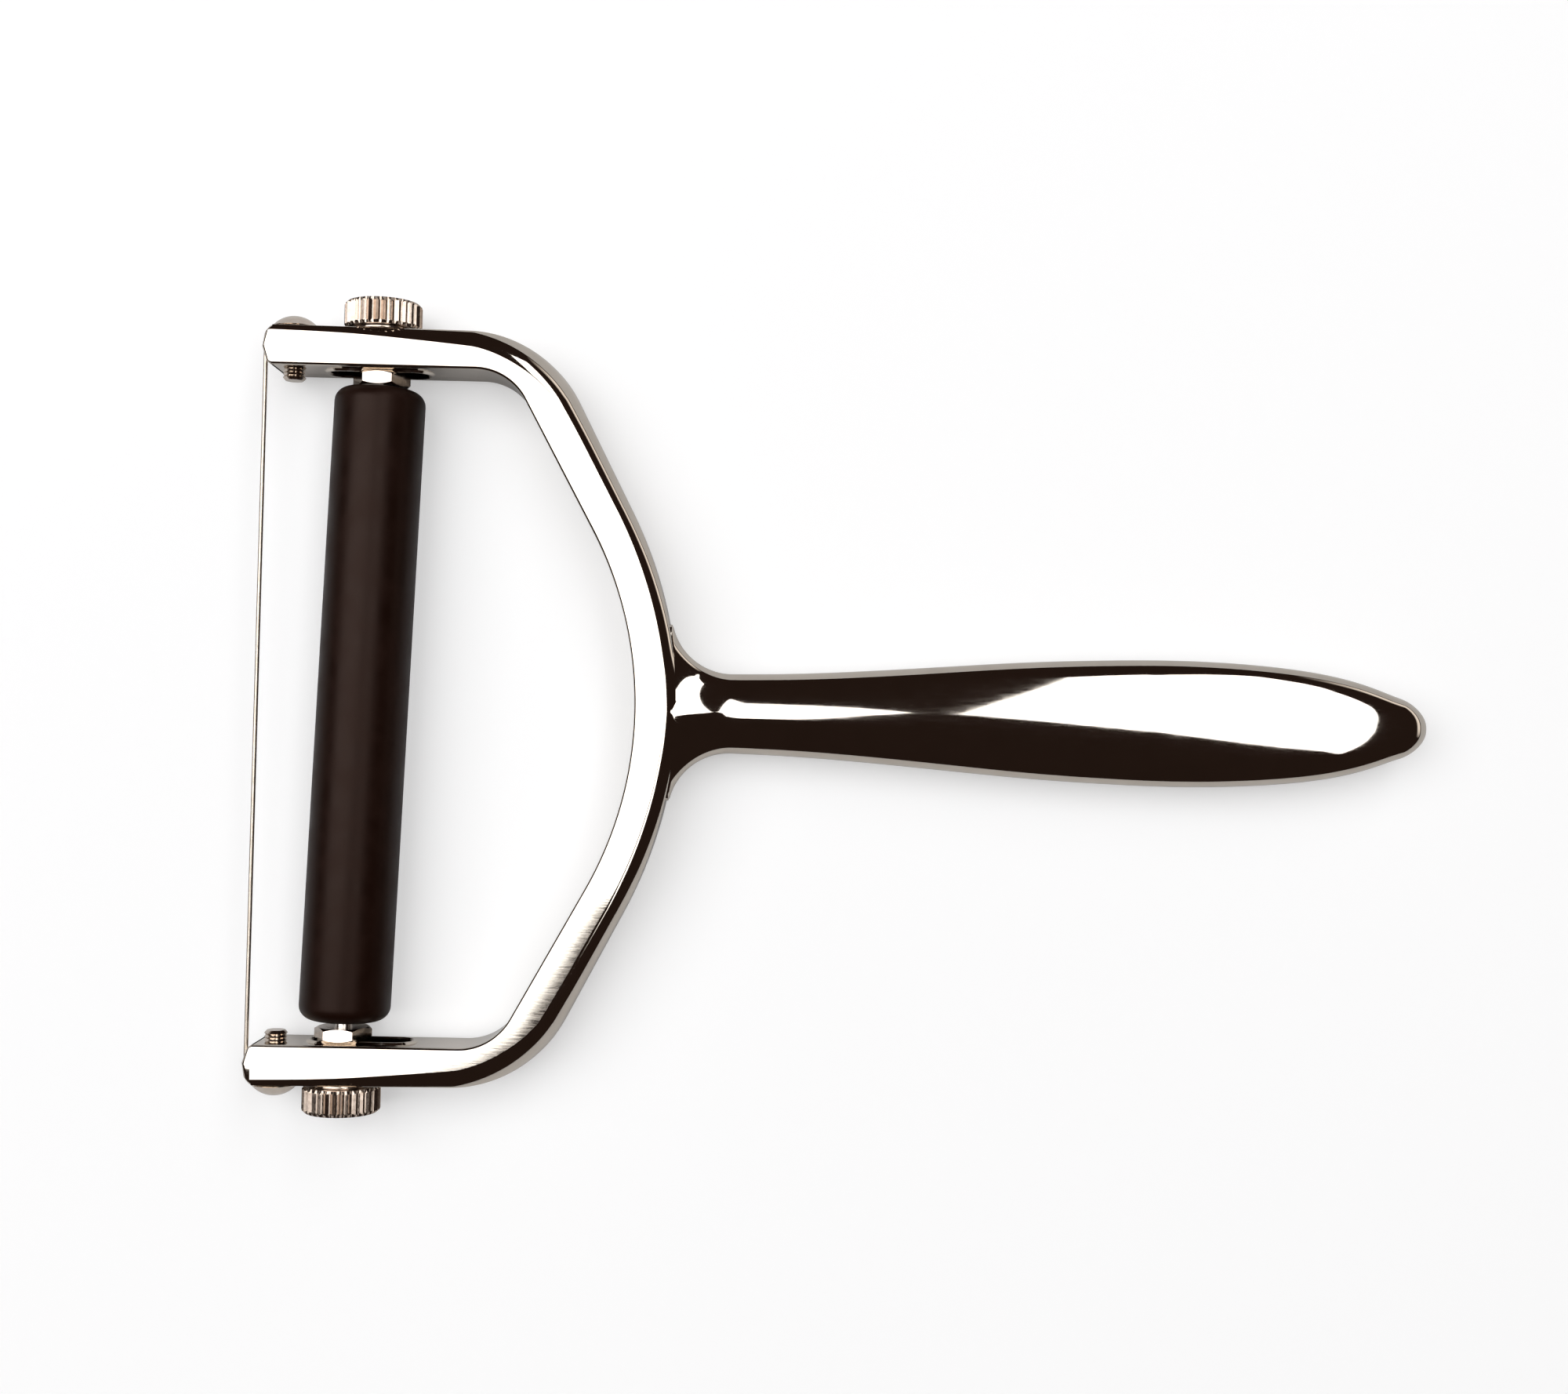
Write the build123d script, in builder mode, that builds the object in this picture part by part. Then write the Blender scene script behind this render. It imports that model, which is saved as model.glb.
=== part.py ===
from build123d import *
import os
from math import atan2, cos, degrees, hypot, radians, sin, sqrt, tan

# An adjustable wire slicer, lying flat with its underside on z = 0.
# +X runs from the cutting wire to the handle's end, +Y to the right arm, +Z up.
# The origin is under the middle of the object's box. All sizes are in millimetres.

# Sizes of the whole
overall_length = 165.2
wire_diameter = 0.6
roller_diameter = 12.6

# The yoke from above. A reach is a distance behind the wire's centre line.
arm_inner_half_span = 47.0
arm_thickness = 5.6
arm_depth = 9.6
tip_bulge = 1.1
inner_apex_radius = 52.0
inner_diagonal_angle = 28.6
inner_corner_radius = 8.0
outer_apex_reach = 58.6
apex_web_width = 5.75
outer_apex_radius = 62.0
outer_diagonal_angle = 27.3
outer_corner_radius = 17.0
outer_edge_radius = 2.4
inner_edge_radius = 0.55
tip_edge_radius = 0.3

# The handle, an oval bar that flares into the yoke
handle_belly_width = 17.9
handle_neck_width = 11.2
handle_neck_depth = 7.2
handle_belly_depth = 8.0
handle_neck_setback = 7.6
handle_root_radius = 8.6
handle_root_rise = 0.9
handle_end_width = 6.8
handle_end_depth = 5.4
handle_end_radius = 2.2
# Where the flare's sections stand on its round, as angles from the neck
root_flare_turns = (84, 70, 55, 40, 25, 10)
# How far along from neck to end, and how much of the change from the neck's to the belly's width
# and depth
handle_station_shares = (
    (0.07, 0.000, 0.00),
    (0.13, 0.150, 0.12),
    (0.26, 0.405, 0.40),
    (0.42, 0.790, 0.78),
    (0.55, 0.960, 0.95),
    (0.64, 1.000, 1.00),
    (0.73, 0.970, 0.95),
    (0.81, 0.750, 0.72),
)
# The same for the stretch where the handle narrows, from the belly's size to the end's
handle_taper_shares = (
    (0.87, 0.320, 0.08),
    (0.925, 0.590, 0.33),
    (0.965, 0.790, 0.68),
    (1.00, 1.000, 1.00),
)

# Slots in the arms, each with a low raised rim on the inner side
slot_start_reach = 8.65
slot_end_reach = 22.6
slot_rim_width = 0.85
slot_rim_height = 0.3
slot_bevel = 0.25

# Wire screws and the wire's seat round the tips
wire_screw_reach = 3.6
wire_screw_radius = 1.6
wire_screw_head_radius = 3.3
wire_screw_head_height = 1.7
wire_screw_inner_length = 1.4
wire_screw_thread_pitch = 0.5
wire_screw_thread_depth = 0.2
wire_screw_drive_width = 0.7
wire_screw_drive_depth = 0.45
wire_seat_depth = 0.2
wire_corner_radius = 1.5
wire_loop_turn = 290.0

# Clamps at the roller's ends
right_clamp_reach = 15.9
left_clamp_reach = 12.95
thumbscrew_radius = 1.95
thumbscrew_bore_radius = 1.4
thumbscrew_bore_depth = 6.0
knob_radius = 5.4
knob_length = 3.7
knob_flutes = 32
knob_flute_depth = 0.42
knob_bevel = 0.4
washer_radius = 4.3
washer_thickness = 0.5
nut_flats_width = 7.0
nut_thickness = 1.75
nut_bevel = 0.55
nut_bevel_slope = 30.0

# Roller and axle
roller_end_gap = 0.65
roller_shift = 0.3
roller_end_radius = 2.0
axle_radius = 1.25
axle_engagement = 4.6
axle_end_bevel = 0.3

# Clearances and the overrun of cuts
thread_clearance = 0.05
slot_clearance = 0.2
washer_clearance = 0.15
roller_bore_clearance = 0.06
wire_clearance = 0.02
overrun = 1.0
# How near an edge's middle lies to an outline that it belongs to
line_match = 0.01

# Places worked out from the sizes above
wire_radius = wire_diameter / 2
wire_x = -overall_length / 2 + wire_radius
middle_z = roller_diameter / 2
inner_apex_reach = outer_apex_reach - apex_web_width
arm_outer_half_span = arm_inner_half_span + arm_thickness
arm_middle_half_span = arm_inner_half_span + arm_thickness / 2
wire_proud = wire_radius - wire_seat_depth
tip_x = wire_x + wire_proud
tip_corner_x = tip_x + tip_bulge
tip_radius = (arm_thickness**2 / 4 + tip_bulge**2) / (2 * tip_bulge)
handle_end_x = overall_length / 2
neck_x = wire_x + outer_apex_reach + handle_neck_setback
rim_half_span = arm_inner_half_span - slot_rim_height
nut_half_span = rim_half_span - nut_thickness
knob_half_span = arm_outer_half_span + washer_thickness
pivot_half_span = nut_half_span + axle_engagement / 2
roller_length = 2 * (nut_half_span - roller_end_gap)
axle_lean_x = right_clamp_reach - left_clamp_reach
axle_middle_x = wire_x + (right_clamp_reach + left_clamp_reach) / 2
axle_length = hypot(axle_lean_x, 2 * pivot_half_span) + axle_engagement
slot_height = 2 * (thumbscrew_radius + slot_clearance)
slot_length = slot_end_reach - slot_start_reach
slot_middle_x = wire_x + (slot_start_reach + slot_end_reach) / 2
rim_height = slot_height + 2 * slot_rim_width
rim_length = slot_length + 2 * slot_rim_width
wire_loop_radius = wire_screw_radius + wire_radius + thread_clearance
wire_z = middle_z + wire_loop_radius
wire_run_half_span = arm_outer_half_span + wire_proud
wire_screw_x = wire_x + wire_screw_reach
clamp_x = {"right": wire_x + right_clamp_reach, "left": wire_x + left_clamp_reach}
sides = {"right": 1, "left": -1}


def across_plane(x, side, half_span):
    """A plane across an arm: its normal points outwards from the object's middle line."""
    return Plane(origin=(x, side * half_span, middle_z), x_dir=(1, 0, 0), z_dir=(0, side, 0))


def turning_plane(x, side):
    """A level plane for a turned piece: local x is its radius, local y runs outwards along its axis."""
    return Plane(origin=(x, 0, middle_z), x_dir=(1, 0, 0), z_dir=(0, 0, side))


def turning_axis(x):
    """The axis of a turned piece that lies across the arms."""
    return Axis((x, 0, middle_z), (0, 1, 0))


def handle_plane(x):
    """A plane across the handle: local x is the handle's width, local y its depth."""
    return Plane(origin=(x, 0, middle_z), x_dir=(0, 1, 0), z_dir=(1, 0, 0))


def apex_end(apex_reach, radius, angle):
    """Where an apex arc of the yoke turns into its straight diagonal."""
    centre_x = wire_x + apex_reach - radius
    return centre_x, centre_x + radius * cos(radians(angle)), radius * sin(radians(angle))


def corner_x(apex_reach, radius, angle, half_span):
    """Where a diagonal of the yoke, drawn on, meets the arm's side."""
    _, end_x, end_y = apex_end(apex_reach, radius, angle)
    return end_x - (half_span - end_y) * tan(radians(angle))


def lies_on(chain, edge):
    """Whether an edge stands right over an outline of the yoke, which is drawn on z = 0."""
    middle = edge @ 0.5
    return chain.distance_to(Vector(middle.X, middle.Y, 0)) < line_match


def save(builder, name):
    """Label a finished piece and write its file."""
    builder.part.label = name
    export_step(builder.part, f"parts/{name}.step")


os.makedirs("parts", exist_ok=True)

# The wire's route: hooked round one screw, over that arm's tip, straight across, and the same again.
# It leaves each screw as a tangent, so it runs above the middle by the hook's radius.
tip_centre_x = tip_x + tip_radius
tip_wire_radius = tip_radius + wire_proud
corner_rise = wire_run_half_span - wire_corner_radius - arm_middle_half_span
corner_run = sqrt((tip_wire_radius - wire_corner_radius) ** 2 - corner_rise**2)
corner_turn = degrees(atan2(corner_rise, corner_run))
with BuildLine(Plane.XY.offset(wire_z)) as right_half:
    straight = Line((wire_x, 0), (wire_x, arm_middle_half_span))
    over_tip = CenterArc((tip_centre_x, arm_middle_half_span), tip_wire_radius, 180, -corner_turn)
    round_corner = CenterArc(
        (tip_centre_x - corner_run, arm_middle_half_span + corner_rise),
        wire_corner_radius,
        180 - corner_turn,
        corner_turn - 90,
    )
    outer_run = Line(round_corner @ 1, (wire_screw_x, wire_run_half_span))
with BuildLine(Plane(origin=(wire_screw_x, wire_run_half_span, middle_z), x_dir=(1, 0, 0),
                     z_dir=(0, -1, 0))) as right_hook:
    CenterArc((0, 0), wire_loop_radius, 90, -wire_loop_turn)
right_route = right_half.edges() + right_hook.edges()
left_route = [edge.mirror(Plane.XZ) for edge in right_route]
wire_route = Wire(right_route + left_route)

with BuildPart() as cutting_wire:
    with BuildSketch(Plane(origin=wire_route @ 0, z_dir=wire_route % 0)):
        Circle(wire_radius)
    sweep(path=wire_route)
save(cutting_wire, "cutting_wire")

# Yoke and handle, one casting
inner_centre_x, inner_end_x, inner_end_y = apex_end(
    inner_apex_reach, inner_apex_radius, inner_diagonal_angle
)
outer_centre_x, outer_end_x, outer_end_y = apex_end(
    outer_apex_reach, outer_apex_radius, outer_diagonal_angle
)
inner_corner_x = corner_x(
    inner_apex_reach, inner_apex_radius, inner_diagonal_angle, arm_inner_half_span
)
outer_corner_x = corner_x(
    outer_apex_reach, outer_apex_radius, outer_diagonal_angle, arm_outer_half_span
)
with BuildLine() as inner_side:
    CenterArc((inner_centre_x, 0), inner_apex_radius, 0, inner_diagonal_angle)
    Line((inner_end_x, inner_end_y), (inner_corner_x, arm_inner_half_span))
    Line((inner_corner_x, arm_inner_half_span), (tip_corner_x, arm_inner_half_span))
    mirror(about=Plane.XZ)
    fillet(
        inner_side.vertices().filter_by(lambda v: abs(v.X - inner_corner_x) < line_match),
        inner_corner_radius,
    )
with BuildLine() as outer_side:
    CenterArc((outer_centre_x, 0), outer_apex_radius, 0, outer_diagonal_angle)
    Line((outer_end_x, outer_end_y), (outer_corner_x, arm_outer_half_span))
    Line((outer_corner_x, arm_outer_half_span), (tip_corner_x, arm_outer_half_span))
    mirror(about=Plane.XZ)
    fillet(
        outer_side.vertices().filter_by(lambda v: abs(v.X - outer_corner_x) < line_match),
        outer_corner_radius,
    )

with BuildPart() as yoke_handle:
    with BuildSketch(Plane.XY.offset(middle_z)):
        with BuildLine():
            add(inner_side.line)
            add(outer_side.line)
            ThreePointArc(
                (tip_corner_x, arm_inner_half_span),
                (tip_x, arm_middle_half_span),
                (tip_corner_x, arm_outer_half_span),
            )
            ThreePointArc(
                (tip_corner_x, -arm_inner_half_span),
                (tip_x, -arm_middle_half_span),
                (tip_corner_x, -arm_outer_half_span),
            )
        make_face()
    extrude(amount=arm_depth / 2, both=True)
    level_edges = yoke_handle.edges().group_by(Axis.Z)[0] + yoke_handle.edges().group_by(Axis.Z)[-1]
    fillet(level_edges.filter_by(lambda e: lies_on(outer_side.wire(), e)), outer_edge_radius)
    level_edges = yoke_handle.edges().group_by(Axis.Z)[0] + yoke_handle.edges().group_by(Axis.Z)[-1]
    fillet(level_edges.filter_by(lambda e: lies_on(inner_side.wire(), e)), inner_edge_radius)
    level_edges = yoke_handle.edges().group_by(Axis.Z)[0] + yoke_handle.edges().group_by(Axis.Z)[-1]
    fillet(level_edges.filter_by(lambda e: (e @ 0.5).X < tip_corner_x), tip_edge_radius)

    # The handle grows out of the yoke's back: a flare, a neck, the belly and a blunt end
    for turn in root_flare_turns:
        flare_x = neck_x - handle_root_radius * sin(radians(turn))
        flare_width = handle_neck_width + 2 * handle_root_radius * (1 - cos(radians(turn)))
        flare_depth = handle_neck_depth + 2 * handle_root_rise * (1 - cos(radians(turn)))
        with BuildSketch(handle_plane(flare_x)):
            Ellipse(flare_width / 2, flare_depth / 2)
    for along_share, width_share, depth_share in handle_station_shares:
        station_x = neck_x + along_share * (handle_end_x - neck_x)
        width = handle_neck_width + width_share * (handle_belly_width - handle_neck_width)
        depth = handle_neck_depth + depth_share * (handle_belly_depth - handle_neck_depth)
        with BuildSketch(handle_plane(station_x)):
            Ellipse(width / 2, depth / 2)
    for along_share, width_share, depth_share in handle_taper_shares:
        station_x = neck_x + along_share * (handle_end_x - neck_x)
        width = handle_belly_width + width_share * (handle_end_width - handle_belly_width)
        depth = handle_belly_depth + depth_share * (handle_end_depth - handle_belly_depth)
        with BuildSketch(handle_plane(station_x)):
            Ellipse(width / 2, depth / 2)
    loft()
    fillet(yoke_handle.faces().sort_by(Axis.X)[-1].edges(), handle_end_radius)

    # Arms: a raised rim and a slot for each clamp, a hole for each wire screw
    for side in sides.values():
        with BuildSketch(across_plane(slot_middle_x, side, rim_half_span)):
            SlotOverall(rim_length, rim_height)
        extrude(amount=slot_rim_height + inner_edge_radius)
        with BuildSketch(across_plane(slot_middle_x, side, rim_half_span - overrun)):
            SlotOverall(slot_length, slot_height)
        extrude(amount=arm_thickness + 2 * overrun, mode=Mode.SUBTRACT)
        with BuildSketch(across_plane(wire_screw_x, side, arm_inner_half_span - overrun)):
            Circle(wire_screw_radius + thread_clearance)
        extrude(amount=arm_thickness + 2 * overrun, mode=Mode.SUBTRACT)
    slot_mouths = yoke_handle.faces().filter_by(
        lambda f: abs(abs(f.center().Y) - rim_half_span) < line_match
    )
    mouth_edges = slot_mouths.edges().filter_by(
        lambda e: abs((e @ 0.5).Z - middle_z) < slot_height / 2 + line_match
        and (e @ 0.5).X < wire_x + slot_end_reach + line_match
        and (e @ 0.5).X > wire_x + slot_start_reach - line_match
    )
    chamfer(mouth_edges, slot_bevel)
    with BuildSketch(Plane(origin=wire_route @ 0, z_dir=wire_route % 0)):
        Circle(wire_radius + wire_clearance)
    sweep(path=wire_route, mode=Mode.SUBTRACT)
save(yoke_handle, "yoke_handle")

for name, side in sides.items():
    # Wire screw: a low dome over the wire's hook, and a threaded shank through the arm
    head_half_span = wire_run_half_span + wire_radius + wire_clearance
    crown_half_span = head_half_span + wire_screw_head_height
    screw_end_half_span = arm_inner_half_span - wire_screw_inner_length
    dome_radius = (wire_screw_head_radius**2 + wire_screw_head_height**2) / (2 * wire_screw_head_height)
    groove_count = int(wire_screw_inner_length / wire_screw_thread_pitch)
    core_radius = wire_screw_radius - wire_screw_thread_depth
    thread_points = []
    for turn in range(groove_count):
        groove_start = screw_end_half_span + turn * wire_screw_thread_pitch
        thread_points.append((core_radius, groove_start))
        thread_points.append((wire_screw_radius, groove_start + wire_screw_thread_pitch / 2))
    thread_end_half_span = screw_end_half_span + groove_count * wire_screw_thread_pitch
    thread_points.append((core_radius, thread_end_half_span))
    thread_points.append((wire_screw_radius, thread_end_half_span + wire_screw_thread_pitch / 2))
    with BuildPart() as wire_screw:
        with BuildSketch(turning_plane(wire_screw_x, side)):
            with BuildLine():
                Polyline(
                    (0, crown_half_span),
                    (0, screw_end_half_span),
                    *thread_points,
                    (wire_screw_radius, head_half_span),
                    (wire_screw_head_radius, head_half_span),
                )
                RadiusArc((wire_screw_head_radius, head_half_span), (0, crown_half_span), dome_radius)
            make_face()
        revolve(axis=turning_axis(wire_screw_x))
        with BuildSketch(across_plane(wire_screw_x, side, crown_half_span + overrun)):
            Rectangle(2 * wire_screw_head_radius, wire_screw_drive_width)
        extrude(amount=-overrun - wire_screw_drive_depth, mode=Mode.SUBTRACT)
    save(wire_screw, f"{name}_wire_screw")

    # Thumbscrew: a fluted knob, a shank and a blind bore that carries the axle's end
    x = clamp_x[name]
    flute_points = []
    for step in range(2 * knob_flutes):
        flute_radius = knob_radius - knob_flute_depth * (step % 2)
        turn = radians(180 / knob_flutes * step)
        flute_points.append((flute_radius * cos(turn), flute_radius * sin(turn)))
    with BuildPart() as thumbscrew:
        with BuildSketch(across_plane(x, side, knob_half_span)):
            Polygon(*flute_points, align=None)
        extrude(amount=knob_length)
        with BuildSketch(turning_plane(x, side)):
            Polygon(
                (0, knob_half_span),
                (knob_radius - knob_bevel, knob_half_span),
                (knob_radius, knob_half_span + knob_bevel),
                (knob_radius, knob_half_span + knob_length - knob_bevel),
                (knob_radius - knob_bevel, knob_half_span + knob_length),
                (0, knob_half_span + knob_length),
                align=None,
            )
        revolve(axis=turning_axis(x), mode=Mode.INTERSECT)
        with BuildSketch(across_plane(x, side, nut_half_span)):
            Circle(thumbscrew_radius)
        extrude(amount=knob_half_span - nut_half_span)
        with BuildSketch(across_plane(x, side, nut_half_span)):
            Circle(thumbscrew_bore_radius)
        extrude(amount=thumbscrew_bore_depth, mode=Mode.SUBTRACT)
    save(thumbscrew, f"{name}_thumbscrew")

    with BuildPart() as washer:
        with BuildSketch(across_plane(x, side, arm_outer_half_span)):
            Circle(washer_radius)
            Circle(thumbscrew_radius + washer_clearance, mode=Mode.SUBTRACT)
        extrude(amount=washer_thickness)
    save(washer, f"{name}_washer")

    # Lock nut: a hexagon with bevelled corners against the slot's rim
    nut_corner_radius = nut_flats_width / sqrt(3)
    nut_bevel_rise = nut_bevel * tan(radians(nut_bevel_slope))
    with BuildPart() as lock_nut:
        with BuildSketch(across_plane(x, side, nut_half_span)):
            RegularPolygon(nut_flats_width / 2, 6, major_radius=False)
        extrude(amount=nut_thickness)
        with BuildSketch(turning_plane(x, side)):
            Polygon(
                (0, nut_half_span),
                (nut_corner_radius - nut_bevel, nut_half_span),
                (nut_corner_radius, nut_half_span + nut_bevel_rise),
                (nut_corner_radius, rim_half_span - nut_bevel_rise),
                (nut_corner_radius - nut_bevel, rim_half_span),
                (0, rim_half_span),
                align=None,
            )
        revolve(axis=turning_axis(x), mode=Mode.INTERSECT)
        with BuildSketch(across_plane(x, side, nut_half_span)):
            Circle(thumbscrew_radius + thread_clearance)
        extrude(amount=nut_thickness, mode=Mode.SUBTRACT)
    save(lock_nut, f"{name}_lock_nut")

# Axle and roller lie askew: the left clamp stands nearer to the wire than the right one
axle_plane = Plane(
    origin=(axle_middle_x, 0, middle_z), x_dir=(0, 0, 1), z_dir=(axle_lean_x, 2 * pivot_half_span, 0)
)
with BuildPart() as roller_axle:
    with BuildSketch(axle_plane):
        Circle(axle_radius)
    extrude(amount=axle_length / 2, both=True)
    chamfer(roller_axle.edges().filter_by(GeomType.CIRCLE), axle_end_bevel)
save(roller_axle, "roller_axle")

with BuildPart() as roller:
    with BuildSketch(axle_plane.offset(roller_shift - roller_length / 2)):
        Circle(roller_diameter / 2)
    extrude(amount=roller_length)
    fillet(roller.edges().filter_by(GeomType.CIRCLE), roller_end_radius)
    with BuildSketch(axle_plane.offset(roller_shift - roller_length / 2)):
        Circle(axle_radius + roller_bore_clearance)
    extrude(amount=roller_length, mode=Mode.SUBTRACT)
save(roller, "roller")
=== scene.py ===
"""An adjustable wire cheese slicer, lying flat on white paper under two broad soft lights."""
import logging
from dataclasses import dataclass
from enum import Enum
from math import atan2, copysign, cos, degrees, hypot, pi, radians, sin, sqrt, tan

import bpy
import numpy as np
from mathutils import Matrix, Vector


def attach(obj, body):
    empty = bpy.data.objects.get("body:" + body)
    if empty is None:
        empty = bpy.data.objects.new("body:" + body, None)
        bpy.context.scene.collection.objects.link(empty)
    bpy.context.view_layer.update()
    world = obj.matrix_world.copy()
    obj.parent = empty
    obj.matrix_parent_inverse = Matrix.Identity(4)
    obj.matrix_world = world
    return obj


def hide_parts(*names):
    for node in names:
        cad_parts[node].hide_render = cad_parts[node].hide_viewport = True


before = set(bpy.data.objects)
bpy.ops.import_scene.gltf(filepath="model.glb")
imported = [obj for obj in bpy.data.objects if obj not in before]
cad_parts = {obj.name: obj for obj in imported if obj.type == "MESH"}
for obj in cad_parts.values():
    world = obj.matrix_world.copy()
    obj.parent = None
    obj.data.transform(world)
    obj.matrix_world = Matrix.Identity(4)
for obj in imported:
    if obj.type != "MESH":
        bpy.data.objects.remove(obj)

LOG = logging.getLogger("slicer")
MM = 0.001
MERGE_DISTANCE = 1e-7
# How many points the rings of turned pieces have: rods and tools, round heads, the roller
COARSE, FINE, FINEST = 64, 96, 144
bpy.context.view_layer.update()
Pair = tuple[float, float]
Triple = tuple[float, float, float]
Faces = list[tuple[int, ...]]
# A noise's stretch along X, Y and Z where it is the same all round
EVEN: Triple = (1.0, 1.0, 1.0)


class Side(Enum):
    """The two arms. The value is the sign of their Y."""

    RIGHT = 1
    LEFT = -1

    @property
    def word(self) -> str:
        """The side's name in piece and body names."""
        return self.name.lower()


class Work(Enum):
    """How a tool's solid changes a piece. The value is the boolean modifier's word for it."""

    ADD = "UNION"
    CUT = "DIFFERENCE"
    TRIM = "INTERSECT"


# Modelling by hand


def deselect() -> None:
    """Leave edit mode and select nothing."""
    if bpy.context.object and bpy.context.object.mode == "EDIT":
        bpy.ops.object.mode_set(mode="OBJECT")
    bpy.ops.object.select_all(action="DESELECT")


def pick(obj: bpy.types.Object) -> None:
    """Make an object the only selected and active one.

    Args:
        obj: the object.
    """
    deselect()
    obj.select_set(True)
    bpy.context.view_layer.objects.active = obj


def tidy_shell(obj: bpy.types.Object) -> None:
    """Merge doubled points and turn all faces outwards.

    Args:
        obj: the object, with a closed skin.
    """
    pick(obj)
    bpy.ops.object.mode_set(mode="EDIT")
    bpy.ops.mesh.select_all(action="SELECT")
    bpy.ops.mesh.remove_doubles(threshold=MERGE_DISTANCE)
    bpy.ops.mesh.normals_make_consistent(inside=False)
    bpy.ops.object.mode_set(mode="OBJECT")


def smooth(obj: bpy.types.Object, angle: float) -> None:
    """Shade an object smooth, with hard edges above an angle in degrees."""
    pick(obj)
    bpy.ops.object.shade_smooth_by_angle(angle=radians(angle))


def apply_modifier(obj: bpy.types.Object, name: str) -> None:
    """Apply one modifier of an object."""
    pick(obj)
    bpy.ops.object.modifier_apply(modifier=name)


def combine(obj: bpy.types.Object, tool: bpy.types.Object, work: Work) -> None:
    """Join a tool's solid to an object, cut it out or trim the object to it, and delete the tool.

    Args:
        obj: the object that stays.
        tool: the object that does the work.
        work: what it does.
    """
    modifier = obj.modifiers.new("combine", "BOOLEAN")
    modifier.operation = work.value
    modifier.solver = "EXACT"
    modifier.object = tool
    apply_modifier(obj, modifier.name)
    bpy.data.objects.remove(tool)


def arc_points(centre: Pair, radius: float, start: float, end: float, steps: int) -> list[Pair]:
    """Points on a round, from one angle in degrees to another."""
    turns = [radians(start + (end - start) * step / steps) for step in range(steps + 1)]
    return [(centre[0] + radius * cos(t), centre[1] + radius * sin(t)) for t in turns]


def metres(points: list[Pair]) -> list[Pair]:
    """Pairs in millimetres as metres."""
    return [(a * MM, b * MM) for a, b in points]


def lathe(name: str, profile: list[Pair], steps: int, closed: bool = False) -> bpy.types.Object:
    """Turn a piece about +Z by extruding a circle ring by ring.

    Args:
        name: the new object's name.
        profile: radius and height of each ring, in millimetres.
        steps: how many points a ring has.
        closed: whether the last ring joins the first one, as on a sleeve.

    Returns:
        The new object, at the origin with its axis upright.
    """
    deselect()
    profile = metres(profile)
    radius, height = profile[0]
    bpy.ops.mesh.primitive_circle_add(vertices=steps, radius=radius, location=(0, 0, height))
    obj = bpy.context.object
    obj.name = name
    bpy.ops.object.transform_apply(location=True, rotation=True, scale=True)
    bpy.ops.object.mode_set(mode="EDIT")
    bpy.ops.mesh.select_all(action="SELECT")
    if not closed:
        bpy.ops.mesh.edge_face_add()
        bpy.ops.mesh.select_mode(type="EDGE")
    for next_radius, next_height in profile[1:]:
        bpy.ops.mesh.extrude_region_move(
            TRANSFORM_OT_translate={"value": (0, 0, next_height - height)}
        )
        scale = next_radius / radius
        bpy.ops.transform.resize(value=(scale, scale, 1), center_override=(0, 0, next_height))
        radius, height = next_radius, next_height
    if closed:
        bpy.ops.object.mode_set(mode="OBJECT")
        bpy.ops.object.mode_set(mode="EDIT")
        bpy.ops.mesh.select_mode(type="EDGE")
        bpy.ops.mesh.select_all(action="DESELECT")
        bpy.ops.mesh.select_non_manifold()
        bpy.ops.mesh.bridge_edge_loops()
    bpy.ops.object.mode_set(mode="OBJECT")
    return obj


def cap_end(obj: bpy.types.Object) -> None:
    """Fill the open end that a lathe without a closed profile leaves.

    Args:
        obj: the turned object.
    """
    pick(obj)
    bpy.ops.object.mode_set(mode="EDIT")
    bpy.ops.mesh.select_mode(type="EDGE")
    bpy.ops.mesh.select_all(action="DESELECT")
    bpy.ops.mesh.select_non_manifold()
    bpy.ops.mesh.edge_face_add()
    bpy.ops.object.mode_set(mode="OBJECT")


def turned(name: str, profile: list[Pair], steps: int = COARSE) -> bpy.types.Object:
    """Turn a solid piece or tool about +Z and close both its ends.

    Args:
        name: the new object's name.
        profile: radius and height of each ring, in millimetres.
        steps: how many points a ring has.

    Returns:
        The new object, at the origin with its axis upright.
    """
    obj = lathe(name, profile, steps)
    cap_end(obj)
    tidy_shell(obj)
    return obj


def place(obj: bpy.types.Object, matrix: Matrix) -> None:
    """Put an object in its place, with the place kept in its mesh.

    Args:
        obj: the object.
        matrix: its place.
    """
    obj.matrix_world = matrix
    pick(obj)
    bpy.ops.object.transform_apply(location=True, rotation=True, scale=True)


def outward(side: Side, x: float, y: float, z: float) -> Matrix:
    """The place of a turned piece whose +Z points away from the middle line, its +X to the wire.

    Args:
        side: the arm it sits on.
        x: where its axis stands.
        y: how far out its local zero stands, from the middle line.
        z: the height of its axis.

    Returns:
        The matrix of that place.
    """
    axis = Vector((0, side.value, 0))
    level = Vector((-1, 0, 0))
    turn = Matrix((level, axis.cross(level), axis)).transposed().to_4x4()
    return Matrix.Translation((x, side.value * y, z)) @ turn


def mesh_object(name: str, points: list[Triple], faces: Faces) -> bpy.types.Object:
    """Make a mesh from its points and faces and put it in the scene.

    Args:
        name: the new object's name.
        points: the points, in metres.
        faces: the faces, as numbers of points.

    Returns:
        The new object.
    """
    mesh = bpy.data.meshes.new(name)
    mesh.from_pydata(points, [], faces)
    obj = bpy.data.objects.new(name, mesh)
    bpy.context.scene.collection.objects.link(obj)
    return obj


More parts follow.
